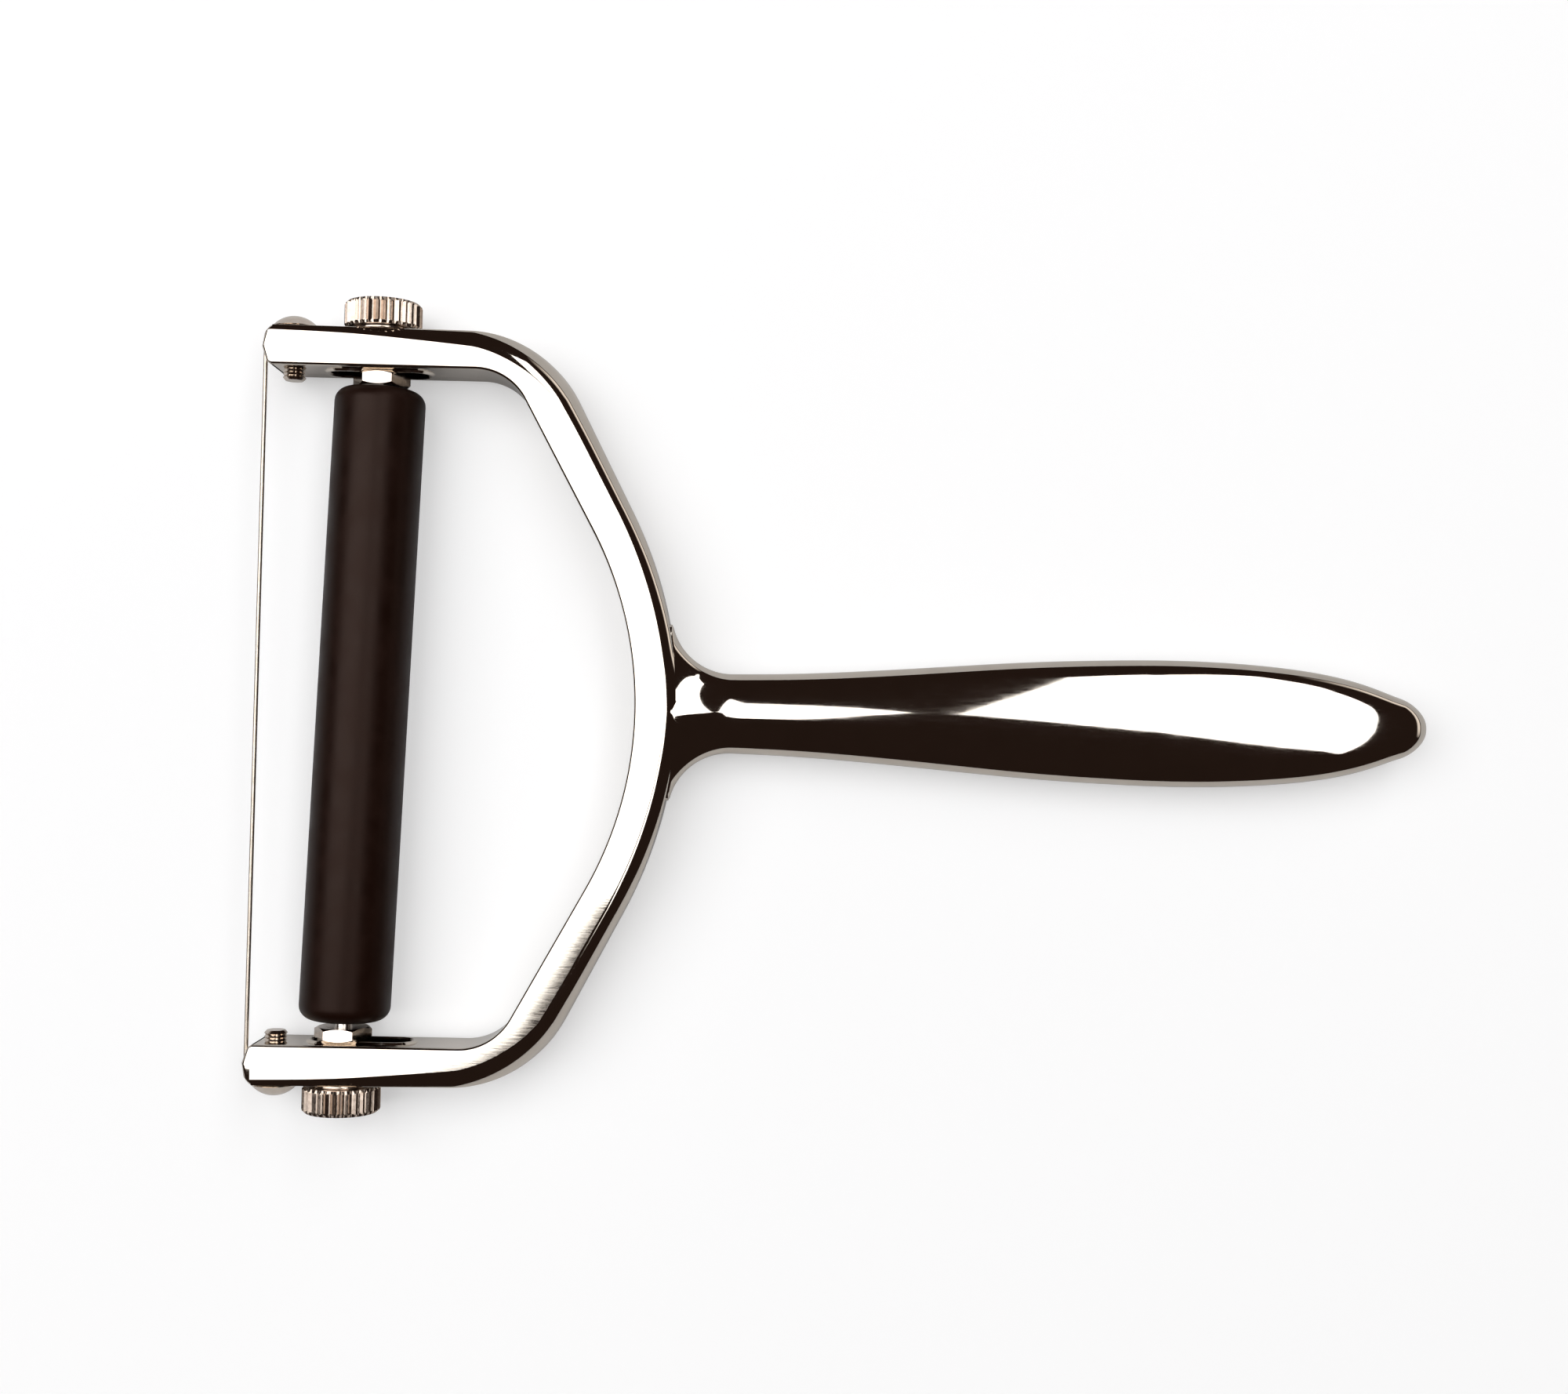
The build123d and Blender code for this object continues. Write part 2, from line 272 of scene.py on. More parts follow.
def side_faces(rows: int, count: int) -> Faces:
    """The faces between rings whose points follow one another.

    Args:
        rows: how many rings there are.
        count: how many points a ring has.

    Returns:
        The faces, as numbers of points.
    """
    faces = []
    for row in range(rows - 1):
        here, there = row * count, (row + 1) * count
        for step in range(count):
            after = (step + 1) % count
            faces.append((here + step, here + after, there + after, there + step))
    return faces


def shell(name: str, rings: list[list[Triple]]) -> bpy.types.Object:
    """Skin a row of closed rings with equally many points and close both ends.

    Args:
        name: the new object's name.
        rings: the rings' points, in metres.

    Returns:
        The new object.
    """
    count = len(rings[0])
    faces = side_faces(len(rings), count)
    last = (len(rings) - 1) * count
    for step in range(count // 2):
        mirrored = (count - step) % count
        mirrored_after = (count - step - 1) % count
        cap = tuple(dict.fromkeys((step, mirrored, mirrored_after, step + 1)))
        faces += [cap, tuple(last + point for point in cap)[::-1]]
    obj = mesh_object(name, [point for ring in rings for point in ring], faces)
    tidy_shell(obj)
    return obj


def curve_through(stations: list[Pair], where: np.ndarray) -> np.ndarray:
    """A smooth curve with steady bending through stations, a natural cubic spline.

    Args:
        stations: pairs of place and value.
        where: the places to read it at.

    Returns:
        The values there.
    """
    x = np.array([s[0] for s in stations])
    y = np.array([s[1] for s in stations])
    gap = np.diff(x)
    count = len(x)
    system = np.eye(count)
    right = np.zeros(count)
    for i in range(1, count - 1):
        system[i, i - 1: i + 2] = gap[i - 1], 2 * (gap[i - 1] + gap[i]), gap[i]
        right[i] = 6 * ((y[i + 1] - y[i]) / gap[i] - (y[i] - y[i - 1]) / gap[i - 1])
    bend = np.linalg.solve(system, right)
    k = np.clip(np.searchsorted(x, where) - 1, 0, count - 2)
    left, rest = where - x[k], x[k + 1] - where
    return (
        (bend[k] * rest**3 + bend[k + 1] * left**3) / (6 * gap[k])
        + (y[k] / gap[k] - bend[k] * gap[k] / 6) * rest
        + (y[k + 1] / gap[k] - bend[k + 1] * gap[k] / 6) * left
    )


# Finishes


class Sheet:
    """The node sheet of a material or a world, with short ways to add and join nodes."""

    def __init__(self, owner: bpy.types.Material | bpy.types.World) -> None:
        """Empty the sheet and give it its output.

        Args:
            owner: the new material or world.
        """
        self.owner = owner
        owner.use_nodes = True
        self.tree = owner.node_tree
        self.tree.nodes.clear()
        kind = "World" if isinstance(owner, bpy.types.World) else "Material"
        self.output = self.node(f"ShaderNodeOutput{kind}")

    def node(self, kind: str, **settings: object) -> bpy.types.Node:
        """Add a node and set its properties.

        Args:
            kind: the node's type.
            settings: its properties by name.

        Returns:
            The new node.
        """
        made = self.tree.nodes.new(kind)
        for key, value in settings.items():
            setattr(made, key, value)
        return made

    def join(self, source: bpy.types.NodeSocket, target: bpy.types.NodeSocket) -> None:
        """Link two sockets."""
        self.tree.links.new(source, target)

    def show(self, shader: bpy.types.NodeSocket) -> None:
        """Link a shader to the output."""
        self.join(shader, self.output.inputs["Surface"])

    def noise(self, stretch: Triple, scale: float, detail: float) -> bpy.types.NodeSocket:
        """A noise on the object's own coordinates.

        Args:
            stretch: how often it repeats along X, Y and Z, against each other.
            scale: how often it repeats in a metre.
            detail: how many octaves it has.

        Returns:
            The noise's value socket.
        """
        place_node = self.node("ShaderNodeTexCoord")
        mapping = self.node("ShaderNodeMapping")
        mapping.inputs["Scale"].default_value = stretch
        self.join(place_node.outputs["Object"], mapping.inputs["Vector"])
        texture = self.node("ShaderNodeTexNoise")
        texture.inputs["Scale"].default_value = scale
        texture.inputs["Detail"].default_value = detail
        self.join(mapping.outputs["Vector"], texture.inputs["Vector"])
        return texture.outputs["Fac"]

    def spread(self, value: bpy.types.NodeSocket, low: float, high: float,
               from_low: float = 0.3, from_high: float = 0.7) -> bpy.types.NodeSocket:
        """Map a value's range to another one.

        Args:
            value: the value's socket.
            low: what the range's lower end becomes.
            high: what its upper end becomes.
            from_low: the range's lower end.
            from_high: its upper end.

        Returns:
            The mapped value's socket.
        """
        ranger = self.node("ShaderNodeMapRange")
        ranger.inputs["From Min"].default_value = from_low
        ranger.inputs["From Max"].default_value = from_high
        ranger.inputs["To Min"].default_value = low
        ranger.inputs["To Max"].default_value = high
        self.join(value, ranger.inputs["Value"])
        return ranger.outputs["Result"]

    def blend(self, value: bpy.types.NodeSocket, low: Triple, high: Triple) -> bpy.types.NodeSocket:
        """Blend two colours by a value.

        Args:
            value: the value's socket.
            low: the colour at 0.
            high: the colour at 1.

        Returns:
            The blended colour's socket.
        """
        mixer = self.node("ShaderNodeMix", data_type="RGBA")
        colour_inputs = [s for s in mixer.inputs if s.type == "RGBA"]
        colour_inputs[0].default_value = (*low, 1)
        colour_inputs[1].default_value = (*high, 1)
        self.join(value, mixer.inputs["Factor"])
        return [s for s in mixer.outputs if s.type == "RGBA"][0]

    def bump(self, height: bpy.types.NodeSocket, distance: float,
             base: bpy.types.NodeSocket | None = None) -> bpy.types.NodeSocket:
        """Turn a height into a bump, on top of another one where given.

        Args:
            height: the height's socket.
            distance: how deep it is, in metres.
            base: the other bump's socket.

        Returns:
            The bumped normal's socket.
        """
        bumper = self.node("ShaderNodeBump")
        bumper.inputs["Strength"].default_value = 1.0
        bumper.inputs["Distance"].default_value = distance
        self.join(height, bumper.inputs["Height"])
        if base is not None:
            self.join(base, bumper.inputs["Normal"])
        return bumper.outputs["Normal"]


@dataclass(frozen=True)
class MetalFinish:
    """A bare or plated metal: its two colours, its gloss and the marks and waves that polishing left.

    A scale says how often a pattern repeats in a metre, and a depth is in metres.
    """

    name: str
    colour: Triple
    stain: Triple
    roughness: Pair
    mark_stretch: Triple
    mark_scale: float
    mark_depth: float
    wave_scale: float
    wave_depth: float
    patches_per_wave: float = 2.5

    def material(self) -> bpy.types.Material:
        """Build the material.

        Returns:
            The new material.
        """
        sheet = Sheet(bpy.data.materials.new(self.name))
        shader = sheet.node("ShaderNodeBsdfPrincipled")
        shader.inputs["Metallic"].default_value = 1.0
        patches = sheet.noise(EVEN, self.wave_scale * self.patches_per_wave, detail=5.0)
        marks = sheet.noise(self.mark_stretch, self.mark_scale, detail=6.0)
        waves = sheet.noise(EVEN, self.wave_scale, detail=1.0)
        stains = sheet.blend(sheet.spread(patches, 0, 1), self.colour, self.stain)
        sheet.join(stains, shader.inputs["Base Color"])
        sheet.join(sheet.spread(marks, *self.roughness), shader.inputs["Roughness"])
        wavy = sheet.bump(waves, self.wave_depth)
        sheet.join(sheet.bump(marks, self.mark_depth, wavy), shader.inputs["Normal"])
        sheet.show(shader.outputs["BSDF"])
        return sheet.owner


@dataclass(frozen=True)
class RollerFinish:
    """Matte turned plastic with faint rings from the lathe and small scuffs."""

    name: str = "roller_plastic"
    colour: Triple = (0.0082, 0.0024, 0.0012)
    worn: Triple = (0.0125, 0.0042, 0.0024)
    sheen: Triple = (1.0, 0.72, 0.62)
    gloss: float = 0.2
    roughness: Pair = (0.34, 0.46)
    scuff_scale: float = 260.0
    scuff_range: Pair = (0.4, 0.75)
    ring_stretch: Triple = (0.05, 1, 0.05)
    ring_scale: float = 2600.0
    ring_depth: float = 4e-6

    def material(self) -> bpy.types.Material:
        """Build the material.

        Returns:
            The new material.
        """
        sheet = Sheet(bpy.data.materials.new(self.name))
        shader = sheet.node("ShaderNodeBsdfPrincipled")
        shader.inputs["Specular IOR Level"].default_value = self.gloss
        shader.inputs["Specular Tint"].default_value = (*self.sheen, 1)
        scuffs = sheet.noise(EVEN, self.scuff_scale, detail=6.0)
        rings = sheet.noise(self.ring_stretch, self.ring_scale, detail=3.0)
        wear = sheet.blend(sheet.spread(scuffs, 0, 1, *self.scuff_range), self.colour, self.worn)
        sheet.join(wear, shader.inputs["Base Color"])
        sheet.join(sheet.spread(scuffs, *self.roughness), shader.inputs["Roughness"])
        sheet.join(sheet.bump(rings, self.ring_depth), shader.inputs["Normal"])
        sheet.show(shader.outputs["BSDF"])
        return sheet.owner


@dataclass(frozen=True)
class Finishes:
    """Every finish of the slicer."""

    casting: MetalFinish = MetalFinish(
        name="polished_casting", colour=(0.67, 0.61, 0.54), stain=(0.62, 0.56, 0.49),
        roughness=(0.03, 0.065), mark_stretch=(1, 9, 9), mark_scale=420.0, mark_depth=6.0e-7,
        wave_scale=110.0, wave_depth=3.0e-6)
    wire: MetalFinish = MetalFinish(
        name="steel_wire", colour=(0.62, 0.55, 0.47), stain=(0.50, 0.43, 0.36),
        roughness=(0.22, 0.34), mark_stretch=(6, 0.3, 6), mark_scale=1500.0, mark_depth=2.0e-6,
        wave_scale=300.0, wave_depth=1.0e-6)
    screws: MetalFinish = MetalFinish(
        name="nickel_screws", colour=(0.76, 0.68, 0.60), stain=(0.66, 0.57, 0.49),
        roughness=(0.08, 0.16), mark_stretch=EVEN, mark_scale=1600.0, mark_depth=2.0e-6,
        wave_scale=400.0, wave_depth=4.0e-6)
    knobs: MetalFinish = MetalFinish(
        name="nickel_knobs", colour=(0.58, 0.48, 0.41), stain=(0.46, 0.37, 0.30),
        roughness=(0.14, 0.24), mark_stretch=EVEN, mark_scale=1600.0, mark_depth=3.0e-6,
        wave_scale=500.0, wave_depth=6.0e-6)
    nuts: MetalFinish = MetalFinish(
        name="plated_nuts", colour=(0.72, 0.64, 0.57), stain=(0.60, 0.52, 0.45),
        roughness=(0.06, 0.12), mark_stretch=EVEN, mark_scale=1500.0, mark_depth=2.0e-6,
        wave_scale=350.0, wave_depth=4.0e-6)
    axle: MetalFinish = MetalFinish(
        name="axle_steel", colour=(0.68, 0.65, 0.62), stain=(0.58, 0.55, 0.52),
        roughness=(0.16, 0.26), mark_stretch=(0.2, 4, 0.2), mark_scale=1500.0, mark_depth=2.0e-6,
        wave_scale=350.0, wave_depth=2.0e-6)
    roller: RollerFinish = RollerFinish()


# The slicer's pieces


@dataclass
class Layout:
    """Where the slicer's parts stand, in millimetres. A reach is a distance behind the wire's line."""

    wire_x: float = -82.3
    middle_z: float = 6.3
    arm_inner: float = 47.0
    arm_thickness: float = 5.6
    right_clamp: float = 15.9
    left_clamp: float = 12.95
    nut_face: float = 44.95
    rim_face: float = 46.7
    pivot: float = 47.25

    def x(self, reach: float) -> float:
        """The frame's X of a reach."""
        return self.wire_x + reach

    def clamp_x(self, side: Side) -> float:
        """Where a side's clamp stands along X."""
        return self.x(self.right_clamp if side is Side.RIGHT else self.left_clamp)

    @property
    def arm_outer(self) -> float:
        """Half the span over the arms."""
        return self.arm_inner + self.arm_thickness

    @property
    def axle_matrix(self) -> Matrix:
        """The axle's place: +Z along it to the right, the zero in its middle.

        Returns:
            The matrix of that place.
        """
        lean = self.right_clamp - self.left_clamp
        axis = Vector((lean, 2 * self.pivot, 0)).normalized()
        level = Vector((0, 0, 1))
        turn = Matrix((level, axis.cross(level), axis)).transposed().to_4x4()
        middle = self.x((self.right_clamp + self.left_clamp) / 2)
        return Matrix.Translation((middle * MM, 0, self.middle_z * MM)) @ turn


@dataclass
class YokeHandle:
    """The casting: a Y-shaped yoke and the handle that grows out of its back. Sizes in millimetres."""

    layout: Layout
    inner_apex_reach: float = 52.85
    inner_apex_radius: float = 52.0
    inner_angle: float = 28.6
    inner_corner_radius: float = 8.0
    outer_apex_reach: float = 58.6
    outer_apex_radius: float = 62.0
    outer_angle: float = 27.3
    outer_corner_radius: float = 17.0
    half_depth: float = 4.8
    tip_bulge: float = 1.1
    tip_round: float = 0.5
    inner_round: float = 0.45
    arm_gap: float = 0.35
    # How many pieces the arm, the corner, the diagonal and the apex are cut into
    outline_steps: tuple[int, int, int, int] = (26, 40, 44, 30)
    # The outer edges' shoulders along half of the yoke, from the tip's share 0 to the middle line's share 1:
    # how far inside the outline they start, and how steeply they end there, in degrees
    shoulders: tuple[Pair, ...] = (
        (0.0, 0.8), (0.07, 0.95), (0.14, 1.25), (0.2, 1.7), (0.26, 2.2), (0.32, 2.75), (0.38, 3.2),
        (0.44, 3.4), (0.49, 3.2), (0.54, 2.8), (0.6, 2.55), (0.66, 2.4), (0.74, 2.25), (0.82, 2.05),
        (0.9, 1.8), (1.0, 1.5))
    steepness: tuple[Pair, ...] = (
        (0.0, 40.0), (0.3, 42.0), (0.44, 88.0), (0.66, 88.0), (0.76, 64.0), (0.86, 52.0), (0.91, 48.0),
        (0.94, 38.0), (1.0, 36.0))
    # The slope at which a shoulder leaves the flat and the first step of its round, in degrees
    crease: float = 12.0
    crease_step: float = 1.5
    shoulder_steps: int = 24
    inner_round_steps: int = 7
    least_round: float = 0.05
    # A narrow strip on each side of a round, which keeps the flats' shading flat
    strip: float = 0.12
    tip_reach: float = 0.1
    tip_steps: int = 4
    neck_reach: float = 66.2
    neck_half_width: float = 5.6
    root_radius: float = 8.6
    root_start: float = 56.6
    root_turn: float = 78.0
    root_rise: float = 0.0160
    root_rise_end: float = 66.1
    root_rise_most: float = 1.05
    ridge_slope: float = 0.19
    ridge_end: float = 67.8
    ridge_share: float = 0.75
    # Half the handle's width and half its depth by reach
    handle_widths: tuple[Pair, ...] = (
        (66.2, 5.6), (74.0, 5.82), (85.6, 6.5), (96.5, 7.35), (107.7, 8.2), (119.0, 8.75),
        (129.8, 8.95), (139.5, 8.62), (146.4, 8.0), (151.9, 7.12), (157.4, 5.6), (161.0, 4.3), (164.9, 3.3))
    handle_heights: tuple[Pair, ...] = (
        (55.0, 3.5), (66.0, 3.5), (76.0, 3.6), (90.0, 3.85), (107.7, 4.0), (129.8, 4.0), (146.4, 4.0),
        (152.5, 3.93), (156.2, 3.78), (159.2, 3.5), (161.5, 3.15), (164.9, 2.6))
    # How boxy the oval is along the handle: 2 is a plain ellipse, more is fuller
    fullness: tuple[Pair, ...] = ((55.0, 2.0), (125.0, 2.0), (150.0, 2.5), (164.9, 2.5))
    end_reach: float = 164.9
    end_round: float = 3.9
    end_turns: Pair = (3.0, 87.0)
    root_rings: int = 46
    body_rings: int = 150
    end_rings: int = 29
    ring_points: int = 112
    slot_start: float = 8.65
    slot_end: float = 22.6
    slot_radius: float = 2.15
    slot_bevel: float = 0.25
    slot_steps: int = 20
    rim_width: float = 0.85
    rim_slope: float = 0.3
    overrun: float = 1.0

    def outline(self, apex_reach: float, radius: float, angle: float, half_span: float,
                corner: float) -> list[Pair]:
        """One side's outline from its tip corner to the middle line.

        Args:
            apex_reach: where it crosses the middle line.
            radius: the radius of the round there.
            angle: the diagonal's lean against the Y axis, in degrees.
            half_span: where the arm's side stands.
            corner: the radius between the arm and the diagonal.

        Returns:
            The points as reach and half span.
        """
        centre = apex_reach - radius
        apex_end = (centre + radius * cos(radians(angle)), radius * sin(radians(angle)))
        meet = apex_end[0] - (half_span - apex_end[1]) * tan(radians(angle))
        setback = corner * tan(radians((90 - angle) / 2))
        corner_centre = (meet - setback, half_span - corner)
        arm, bend, diagonal, apex = self.outline_steps
        start = self.tip_bulge + self.arm_gap
        points = [(start + (meet - setback - start) * k / arm, half_span) for k in range(arm)]
        *turn, turn_end = arc_points(corner_centre, corner, 90, angle, bend)
        points += turn
        points += [
            (turn_end[0] + (apex_end[0] - turn_end[0]) * k / diagonal,
             turn_end[1] + (apex_end[1] - turn_end[1]) * k / diagonal) for k in range(diagonal)]
        points += arc_points((centre, 0), radius, angle, 0, apex)
        return points

    def section(self, inner: Vector, outer: Vector, shoulder: float, steep: float,
                inset: float = 0.0) -> list[Triple]:
        """The casting's cross-section between an inner and an outer point of its outline.

        Args:
            inner: the inner point, on the middle height.
            outer: the outer point, on the middle height.
            shoulder: how far inside the outer point the shoulder starts.
            steep: how steeply the shoulder ends there, in degrees.
            inset: how far the section is drawn in on all sides.

        Returns:
            The ring's points in metres, mirrored about the middle height.
        """
        across = outer - inner
        width = across.length
        across.normalize()
        low, high, top = inset, width - inset, self.half_depth - inset
        small = max(self.inner_round - inset, self.least_round)
        first, last = radians(self.crease), radians(steep)
        radius = shoulder / (sin(last) - sin(first))
        upper = [(low, 0.0), (low, (top - small) / 2), (low, top - small - self.strip)]
        upper += arc_points((low + small, top - small), small, 180, 90, self.inner_round_steps)
        flat_start, flat_end = low + small + self.strip, high - shoulder
        flat = (flat_start, flat_start + (flat_end - flat_start) / 2, flat_end - self.strip / 2, flat_end)
        upper += [(across_flat, top) for across_flat in flat]
        shoulder_centre = (flat_end - radius * sin(first), top - radius * cos(first))
        upper += arc_points(shoulder_centre, radius, 90 - self.crease - self.crease_step, 90 - steep,
                            self.shoulder_steps)
        lowest = upper[-1][1]
        upper += [(high, lowest / 2), (high, 0.0)]
        lower = [(u, -v) for u, v in upper[1:-1]][::-1]
        ring = []
        for u, v in upper + lower:
            spot = inner + across * u
            ring.append((spot.x * MM, spot.y * MM, (self.layout.middle_z + v) * MM))
        return ring

    def yoke(self) -> bpy.types.Object:
        """Build the yoke's rib from tip to tip.

        Returns:
            The rib.
        """
        sizes = self.layout
        inner = self.outline(self.inner_apex_reach, self.inner_apex_radius, self.inner_angle,
                             sizes.arm_inner, self.inner_corner_radius)
        outer = self.outline(self.outer_apex_reach, self.outer_apex_radius, self.outer_angle,
                             sizes.arm_outer, self.outer_corner_radius)
        runs = np.hypot(*np.diff(np.array(outer), axis=0).T)
        along = np.concatenate([[0.0], np.cumsum(runs)]) / runs.sum()
        shoulders = curve_through(list(self.shoulders), along)
        steepness = np.interp(along, *zip(*self.steepness))
        rows = []
        for a, b, shoulder, steep in zip(inner, outer, shoulders, steepness):
            start = Vector((sizes.x(a[0]), a[1], 0))
            end = Vector((sizes.x(b[0]), b[1], 0))
            rows.append((start, end, float(shoulder), float(steep)))
        right = [self.section(*entry) for entry in rows]
        left = []
        for start, end, shoulder, steep in rows[-2::-1]:
            mirrored = (Vector((start.x, -start.y, 0)), Vector((end.x, -end.y, 0)))
            left.append(self.section(*mirrored, shoulder, steep))
        tip = self.tip_rings(Side.RIGHT)
        return shell("yoke_handle_polished", tip[::-1] + right + left + self.tip_rings(Side.LEFT))

    def tip_rings(self, side: Side) -> list[list[Triple]]:
        """The rings that round off an arm's bulged tip, from the arm outwards.

        Args:
            side: the arm.

        Returns:
            The rings' points in metres.
        """
        sizes = self.layout
        middle = sizes.arm_inner + sizes.arm_thickness / 2
        bulge_radius = (sizes.arm_thickness**2 / 4 + self.tip_bulge**2) / (2 * self.tip_bulge)
        rings = []
        for step in range(self.tip_steps + 1):
            turn = pi / 2 * step / self.tip_steps
            inset = self.tip_round * (1 - cos(turn))
            back = self.tip_round * (1 - sin(turn))
            start = Vector((0, side.value * sizes.arm_inner, 0))
            end = Vector((0, side.value * sizes.arm_outer, 0))
            ring = []
            for _, y, z in self.section(start, end, self.shoulders[0][1], self.steepness[0][1], inset):
                off = abs(abs(y) / MM - middle)
                depth = bulge_radius - sqrt(bulge_radius**2 - off**2)
                ring.append(((sizes.x(self.tip_reach) + depth + back) * MM, y, z))
            rings.append(ring)
        return rings

    def handle(self) -> bpy.types.Object:
        """Build the handle: flared root, neck, belly and blunt end.

        Returns:
            The handle.
        """
        flare = np.linspace(self.root_start, self.neck_reach, self.root_rings)
        body = np.linspace(self.neck_reach, self.end_reach - self.end_round, self.body_rings)[1:]
        turns = np.radians(np.linspace(*self.end_turns, self.end_rings))
        nose = self.end_reach - self.end_round * (1 - np.sin(turns))
        back = np.minimum(self.neck_reach - flare, self.root_radius * sin(radians(self.root_turn)))
        widths = list(self.neck_half_width + self.root_radius - np.sqrt(self.root_radius**2 - back**2))
        widths += list(curve_through(list(self.handle_widths), body))
        widths += list(curve_through(list(self.handle_widths), nose) * np.cos(turns))
        places = np.concatenate([flare, body, nose])
        heights = curve_through(list(self.handle_heights), places)
        rise = self.root_rise * np.maximum(self.root_rise_end - places, 0.0) ** 2
        heights += np.minimum(rise, self.root_rise_most)
        heights[-len(nose):] *= np.cos(turns)
        rings = [self.handle_ring(*entry) for entry in zip(places, widths, heights)]
        return shell("handle_tool", rings)

    def handle_ring(self, reach: float, width: float, height: float) -> list[Triple]:
        """One oval ring of the handle, with a soft ridge along its top near the root.

        Args:
            reach: where it stands.
            width: half its width.
            height: half its depth.

        Returns:
            The ring's points in metres.
        """
        sizes = self.layout
        fade = min(max((self.ridge_end - reach) / (self.ridge_end - self.outer_apex_reach), 0.0), 1.0)
        ridge = self.ridge_slope * self.ridge_share * width * fade * fade * (3 - 2 * fade)
        power = 2 / float(np.interp(reach, *zip(*self.fullness)))
        ring = []
        count = self.ring_points
        for step in range(count):
            turn = 2 * pi * step / count
            share = copysign(abs(cos(turn)) ** power, cos(turn))
            rise = copysign(abs(sin(turn)) ** power, sin(turn)) if step % (count // 2) else 0.0
            z = (height - ridge * min(abs(share) / self.ridge_share, 1.0)) * rise
            ring.append((sizes.x(reach) * MM, width * share * MM, (sizes.middle_z + z) * MM))
        return ring

    def stadium(self, name: str, side: Side, rings: list[Pair]) -> bpy.types.Object:
        """A slot-shaped plug across an arm.

        Args:
            name: the new object's name.
            side: the arm.
            rings: the end radius and the distance from the middle line of each ring.

        Returns:
            The new object.
        """
        sizes = self.layout
        straight = (self.slot_end - self.slot_start) / 2 - self.slot_radius
        middle = sizes.x((self.slot_start + self.slot_end) / 2)
        made = []
        for radius, y in rings:
            ring = []
            for centre, start in ((straight, -90), (-straight, 90)):
                for a, b in arc_points((centre, 0), radius, start, start + 180, self.slot_steps):
                    ring.append(((middle + a) * MM, side.value * y * MM, (sizes.middle_z + b) * MM))
            made.append(ring)
        count = len(made[0])
        points = [point for ring in made for point in ring]
        faces = side_faces(len(made), count)
        faces += [tuple(range(count)), tuple(range(len(points) - count, len(points)))]
        obj = mesh_object(name, points, faces)
        tidy_shell(obj)
        return obj

    def build(self, finish: MetalFinish) -> bpy.types.Object:
        """Model the casting and put it in the node's place.

        Args:
            finish: its finish.

        Returns:
            The casting.
        """
        sizes = self.layout
        casting = self.yoke()
        combine(casting, self.handle(), Work.ADD)
        rim_radius = self.slot_radius + self.rim_width
        mouth_radius = self.slot_radius + self.slot_bevel
        for side in Side:
            combine(casting, self.stadium("rim_tool", side, [
                (rim_radius - self.rim_slope, sizes.rim_face), (rim_radius, sizes.arm_inner),
                (rim_radius, sizes.arm_inner + self.overrun)]), Work.ADD)
            combine(casting, self.stadium("slot_tool", side, [
                (mouth_radius, sizes.arm_inner - 2 * self.overrun), (mouth_radius, sizes.rim_face),
                (self.slot_radius, sizes.rim_face + self.slot_bevel),
                (self.slot_radius, sizes.arm_outer + self.overrun)]), Work.CUT)
        smooth(casting, angle=30)
        casting.data.materials.append(finish.material())
        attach(casting, "frame")
        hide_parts("yoke_handle")
        return casting


@dataclass
class Roller:
    """The plastic sleeve and the steel axle it turns on. Sizes in millimetres."""

    layout: Layout
    radius: float = 6.3
    half_length: float = 44.3
    shift: float = 0.3
    end_round: float = 2.0
    end_steps: int = 10
    # How far a flat's extra ring stands from the round beside it
    strip: float = 0.3
    bore: float = 1.31
    bore_bevel: float = 0.2
    axle_radius: float = 1.25
    axle_half_length: float = 49.57
    axle_bevel: float = 0.3

    def build_sleeve(self, finish: RollerFinish) -> bpy.types.Object:
        """Turn the sleeve with its rounded ends.

        Args:
            finish: its finish.

        Returns:
            The sleeve.
        """
        half, r, bevel = self.half_length, self.end_round, self.bore_bevel
        mouth, shoulder = self.bore + bevel, self.radius - r
        profile = [(self.bore, half - bevel), (self.bore, -half + bevel), (mouth, -half)]
        profile.append((shoulder - bevel, -half))
        profile += arc_points((shoulder, -half + r), r, -90, 0, self.end_steps)
        profile += [(self.radius, -half + r + self.strip), (self.radius, half - r - self.strip)]
        profile += arc_points((shoulder, half - r), r, 0, 90, self.end_steps)
        profile += [(shoulder - bevel, half), (mouth, half)]
        sleeve = lathe("roller_sleeve", [(a, b + self.shift) for a, b in profile], FINEST, closed=True)
        place(sleeve, self.layout.axle_matrix)
        tidy_shell(sleeve)
        smooth(sleeve, angle=40)
        sleeve.data.materials.append(finish.material())
        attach(sleeve, "roller")
        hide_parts("roller")
        return sleeve

    def build_axle(self, finish: MetalFinish) -> bpy.types.Object:
        """Turn the axle with its bevelled ends.

        Args:
            finish: its finish.

        Returns:
            The axle.
        """
        half, r, bevel = self.axle_half_length, self.axle_radius, self.axle_bevel
        start = [(r - bevel, -half), (r, -half + bevel), (r, -half + 2 * bevel)]
        axle = turned("roller_axle_rod", start + [(radius, -height) for radius, height in start[::-1]])
        place(axle, self.layout.axle_matrix)
        smooth(axle, angle=30)
        axle.data.materials.append(finish.material())
        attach(axle, "axle")
        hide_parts("roller_axle")
        return axle


